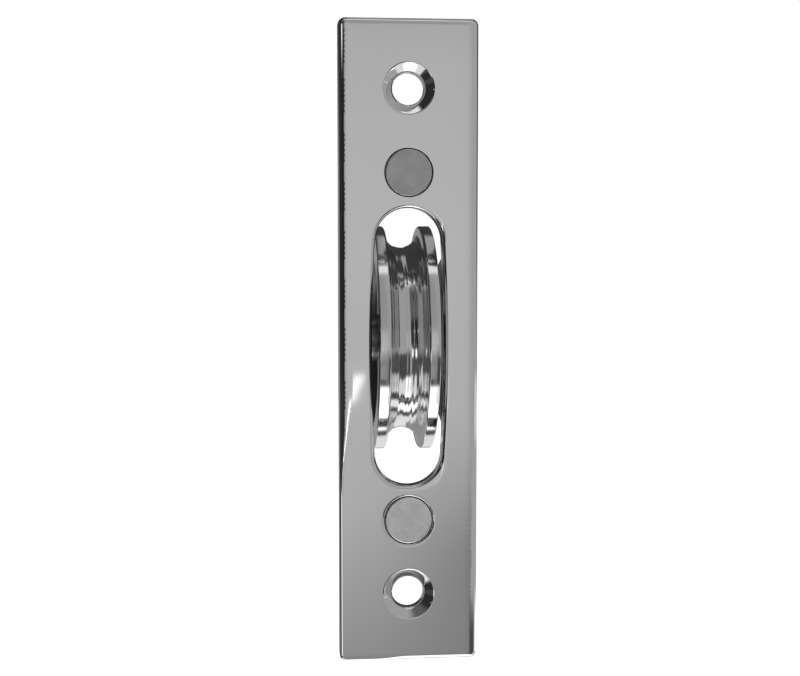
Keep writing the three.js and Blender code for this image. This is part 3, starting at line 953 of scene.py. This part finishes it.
def blank_outline():
    """The cross-shaped flat blank, counterclockwise, starting at its right side's lower end."""
    low, high = cradle_low.z, cradle_high.z
    axle = AXIS_Y + FLAT_OFFSET
    nose = cradle_high.y - AXIS_Y
    inner = CHEEK_OUT - NOTCH_DEPTH
    notch = -CHEEK_ROOT - NOTCH_HEIGHT
    cheek = softened([
        (CHEEK_OUT, notch - TAPER_RUN), (CHEEK_OUT, notch), (inner, notch), (inner, -CHEEK_ROOT),
        (inner + TAPER_RUN, -CHEEK_ROOT + TAPER_RUN * math.tan(math.radians(CHEEK_TAPER))),
    ], NOTCH_ROUND, 4, closed=False)
    lower = cheek + arc(axle, 0, nose, CHEEK_TAPER - 90, 0, 24)[:-1]
    upper = [(x, -z) for x, z in reversed(lower)]
    right = arc(CHEEK_OUT - STRIP_END, low + STRIP_END, STRIP_END, -90, 0, 10)
    right += lower + [(axle + nose, 0)] + upper
    right += arc(CHEEK_OUT - STRIP_END, high - STRIP_END, STRIP_END, 0, 90, 10)
    return right + [(-x, z) for x, z in reversed(right)]


def moved_in(points, distance):
    """An outline moved to its left by distance, each point along the bisector of its two sides."""
    moved = []
    for i, point in enumerate(points):
        here = Vector(point)
        before = (here - Vector(points[i - 1])).normalized()
        after = (Vector(points[(i + 1) % len(points)]) - here).normalized()
        along = (before + after).normalized()
        left = Vector((-along.y, along.x))
        moved.append(tuple(here + left * distance / max(0.5, along.dot(before))))
    return moved


def point_in(points, x, z):
    """Whether a point is inside a closed outline."""
    inside = False
    for (x1, z1), (x2, z2) in zip(points, points[1:] + points[:1]):
        if (z1 > z) != (z2 > z) and x < x1 + (z - z1) * (x2 - x1) / (z2 - z1):
            inside = not inside
    return inside


def pressed_plate(outline, holes, thickness, edge, extra):
    """A flat plate with rounded edges: points (across, through, up) and faces."""
    half = thickness / 2
    turns = [math.pi / 2 * k / 3 for k in range(3, -1, -1)]
    steps = [(edge * (1 - math.sin(a)), half - edge * (1 - math.cos(a))) for a in turns]
    points = []
    faces = []
    rims = {1: [], -1: []}
    for loop in [outline] + [hole[::-1] for hole in holes]:
        rings = []
        for inset, height in [(i, -h) for i, h in reversed(steps)] + steps:
            ring = moved_in(loop, inset)
            rings.append((range(len(points), len(points) + len(ring)), ring))
            points += [(x, height, z) for x, z in ring]
        for (a, _), (b, _) in zip(rings, rings[1:]):
            for i in range(len(loop)):
                j = (i + 1) % len(loop)
                faces.append((a[i], b[i], b[j], a[j]))
        rims[-1].append(rings[0][1])
        rims[1].append(rings[-1][1])
    for side in (-1, 1):
        border, *openings = rims[side]

        def solid(x, z):
            return point_in(border, x, z) and not any(point_in(opening, x, z) for opening in openings)

        flat, triangles = triangulate(border, openings, [p for p in extra if solid(*p)], solid)
        base = len(points)
        points += [(x, side * half, z) for x, z in flat]
        for face in triangles:
            face = [base + i for i in face]
            faces.append(tuple(face if side < 0 else face[::-1]))
    return points, faces


def bend_points():
    """Points of the flat blank where it bends, so that the bend is smooth."""
    columns = [BEND_START + BEND_LENGTH * k / BEND_STEPS for k in range(-1, BEND_STEPS + 2)]
    rows = [CHEEK_ROOT * 0.98 * k / BEND_ROWS for k in range(-BEND_ROWS, BEND_ROWS + 1)]
    return [(side * column, row) for column in columns for row in rows for side in (-1, 1)]


def make_cradle(material):
    axle = AXIS_Y + FLAT_OFFSET
    middle = (cradle_low.z + cradle_high.z) / 2
    straight = THROAT_HALF - THROAT_END
    throat = arc(0, middle + straight, THROAT_END, 0, 180, 40)
    throat += arc(0, middle - straight, THROAT_END, 180, 360, 40)
    holes = [filled(throat, PRESSED_SPACING)]
    holes += [circle_ring(z, RIVET_HOLE, 48) for z in RIVET_HEIGHTS]
    holes += [[(x + side * axle, z) for x, z in circle_ring(0, AXLE_HOLE, 64)] for side in (-1, 1)]
    outline = filled(blank_outline(), PRESSED_SPACING)
    points, faces = pressed_plate(outline, holes, GAUGE, PUNCHED_EDGE, bend_points())
    verts = [bent(*point) for point in points]
    new_piece("cradle_pressed", verts, faces, material, "frame", "cradle", "cradle", sharp=50)


# ---------------------------------------- axle, spacers and bearing

AXLE_RADIUS = 2.95 * MM
AXLE_BORE = 3.0 * MM        # of the washer and the spacers
SEAT_GAP = 0.05 * MM        # between the axle's ends and what they hold
HEAD_FLAT = 0.62            # share of the formed head that is flat
HEAD_FALL = 0.8 * MM
HEAD_ROUND = 0.5 * MM
PEEN_EDGE = 0.45 * MM       # height of the peened end's edge
PEEN_ANGLES = range(6, 63, 8)  # of the points along its dome, in degrees above its edge
# the dimple in its middle: distance from the axis, and depth there
DIMPLE = [(1.5 * MM, 0), (1.1 * MM, 0.1 * MM), (0.6 * MM, 0.28 * MM), (0, 0.35 * MM)]


def make_axle(material):
    """A pin with a formed head on the left, and on the right a domed, peened end with a dimple."""
    low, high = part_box("axle_pin")
    head = (high.z - low.z) / 2
    left_seat = -CHEEK_OUT - SEAT_GAP
    right_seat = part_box("axle_washer")[1].x + SEAT_GAP
    formed = softened([
        (0, low.x), (head * HEAD_FLAT, low.x), (head, low.x + HEAD_FALL), (head, left_seat),
        (AXLE_RADIUS, left_seat), (AXLE_RADIUS, 0),
    ], HEAD_ROUND, 5, closed=False)
    dome_base = right_seat + PEEN_EDGE
    dome = [math.radians(angle) for angle in PEEN_ANGLES]
    peened = [(AXLE_RADIUS, right_seat), (head, right_seat)]
    peened += [(head * math.cos(a), dome_base + (high.x - dome_base) * math.sin(a)) for a in dome]
    peened += [(radius, high.x - depth) for radius, depth in DIMPLE]
    verts, faces = turned(formed + peened, 128, (0, AXIS_Y, 0))
    new_piece("axle_pin_peened", verts, faces, material, "frame", "axle", "axle_pin")


def ring_outline(low, high, inner, outer, corner, steps):
    """A rectangle of (radius, height) from low to high, with rounded corners."""
    return softened([(inner, low), (outer, low), (outer, high), (inner, high)], corner, steps)


def make_ring(node, corner, material, name):
    """A plain turned ring on the axle, in the box of its CAD node."""
    low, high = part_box(node)
    outline = ring_outline(low.x, high.x, AXLE_BORE, (high.z - low.z) / 2, corner, 4)
    verts, faces = turned(outline, 128, (0, AXIS_Y, 0))
    new_piece(name, verts, faces, material, "frame", "axle", node)


RACE_TRACK = 1.85 * MM      # radius of the balls' groove
RACE_ROUND = 0.3 * MM
RACE_BORE = 3.02 * MM
OUTER_LAND = 7.4 * MM
INNER_LAND = 5.1 * MM
BALL_ORBIT = 6.25 * MM


def make_races(material):
    """The two races, each with its ball track and rounded edges."""
    low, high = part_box("bearing_outer_race")
    reach = math.degrees(math.acos((OUTER_LAND - BALL_ORBIT) / RACE_TRACK))
    track = arc(BALL_ORBIT, 0, RACE_TRACK, reach, -reach, 24)
    outline = ring_outline(low.x, high.x, OUTER_LAND, (high.z - low.z) / 2, RACE_ROUND, 5)
    verts, faces = turned(outline + track, 160, (0, AXIS_Y, 0))
    new_piece("outer_race_ground", verts, faces, material, "wheel", "bearing", "bearing_outer_race")

    low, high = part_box("bearing_inner_race")
    reach = math.degrees(math.acos((BALL_ORBIT - INNER_LAND) / RACE_TRACK))
    track = arc(BALL_ORBIT, 0, RACE_TRACK, 180 + reach, 180 - reach, 24)
    outline = ring_outline(high.x, low.x, INNER_LAND, RACE_BORE, RACE_ROUND, 5)
    verts, faces = turned(outline + track, 160, (0, AXIS_Y, 0))
    new_piece("inner_race_ground", verts, faces, material, "frame", "bearing", "bearing_inner_race")


SHIELD_INNER = 5.2 * MM
SHIELD_RIB = 0.12 * MM      # how deep the shield is pressed in at its two edges
SHIELD_RISE = (0.35 * MM, 0.6 * MM)  # how far from its inner edge it starts and ends to rise
SHIELD_FALL = (0.4 * MM, 0.6 * MM)   # and the same from its outer edge
SHIELD_ROUND = 0.06 * MM


def make_shield(node, name, material):
    """A pressed shield: a flat ring whose middle is raised."""
    low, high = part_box(node)
    inner, outer = SHIELD_INNER, (high.z - low.z) / 2
    face, back = (high.x, low.x) if low.x > 0 else (low.x, high.x)
    pressed = face - math.copysign(SHIELD_RIB, face)
    outline = softened([
        (inner, pressed), (inner + SHIELD_RISE[0], pressed), (inner + SHIELD_RISE[1], face),
        (outer - SHIELD_FALL[1], face), (outer - SHIELD_FALL[0], pressed), (outer, pressed),
        (outer, back), (inner, back),
    ], SHIELD_ROUND, 3)
    verts, faces = turned(outline, 128, (0, AXIS_Y, 0))
    new_piece(name, verts, faces, material, body_of(node), "bearing", node)


CAGE_INNER = 5.5 * MM
CAGE_ROUND = 0.1 * MM
CAGE_POCKET = 1.9 * MM
BALLS = 7


def settle(piece):
    """Apply a piece's modifiers to its mesh."""
    done = bpy.data.meshes.new_from_object(piece.evaluated_get(bpy.context.evaluated_depsgraph_get()))
    piece.modifiers.clear()
    piece.data = done
    done.set_sharp_from_angle(angle=math.radians(SHARP))


def make_cage(material):
    """A crown cage: a ring with a round pocket cut for each ball."""
    low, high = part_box("bearing_cage")
    outline = ring_outline(low.x, high.x, CAGE_INNER, (high.z - low.z) / 2, CAGE_ROUND, 3)
    verts, faces = turned(outline, 168, (0, AXIS_Y, 0))
    cage = new_piece("cage_crown", verts, faces, material, "cage", "cage", "bearing_cage")
    for number in range(1, BALLS + 1):
        place = centre_of(f"bearing_ball_{number}")
        verts, faces = turned(half_circle(CAGE_POCKET, 20), 40, place)
        mesh = bpy.data.meshes.new("pocket")
        mesh.from_pydata(verts, [], faces)
        cutter = bpy.data.objects.new("pocket", mesh)
        bpy.context.scene.collection.objects.link(cutter)
        cut = cage.modifiers.new("pocket", "BOOLEAN")
        cut.object = cutter
        cut.solver = "EXACT"
        settle(cage)
        bpy.data.objects.remove(cutter)


def make_ball(number, material):
    node = f"bearing_ball_{number}"
    low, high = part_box(node)
    verts, faces = turned(half_circle((high.x - low.x) / 2, 32), 64, centre_of(node))
    new_piece(f"ball_{number}_ground", verts, faces, material, f"ball_{number}", "ball", node)


# ---------------------------------------- the scene

make_camera()
make_world()
make_floor()

zinc = zinc_plate()
axle_steel = turned_steel("axle_steel", 0.6, 0.3)
bearing_steel = turned_steel("bearing_steel", 0.68, 0.18)
ball_steel = turned_steel("ball_steel", 0.78, 0.06)
cage_steel = turned_steel("cage_steel", 0.5, 0.4)

make_faceplate(chrome_plate())
# lit and shaded copies of one peened steel: the upper rivet is painted darker and the lower one lighter,
# standing in for what their faces reflect
make_rivet("rivet_upper", peened_steel("rivet_steel_painted_dark", 0.52))
make_rivet("rivet_lower", peened_steel("rivet_steel_painted_light", 0.9))
make_sheave(chrome_turned())
make_cradle(zinc)
make_axle(axle_steel)
make_ring("axle_washer", 0.2 * MM, zinc, "axle_washer_pressed")
for side in ("left", "right"):
    make_ring(f"spacer_{side}", 0.25 * MM, axle_steel, f"spacer_{side}_turned")
make_races(bearing_steel)
for side in ("left", "right"):
    make_shield(f"bearing_shield_{side}", f"shield_{side}_pressed", bearing_steel)
make_cage(cage_steel)
for number in range(1, BALLS + 1):
    make_ball(number, ball_steel)

bpy.context.scene.view_settings.view_transform = "Standard"
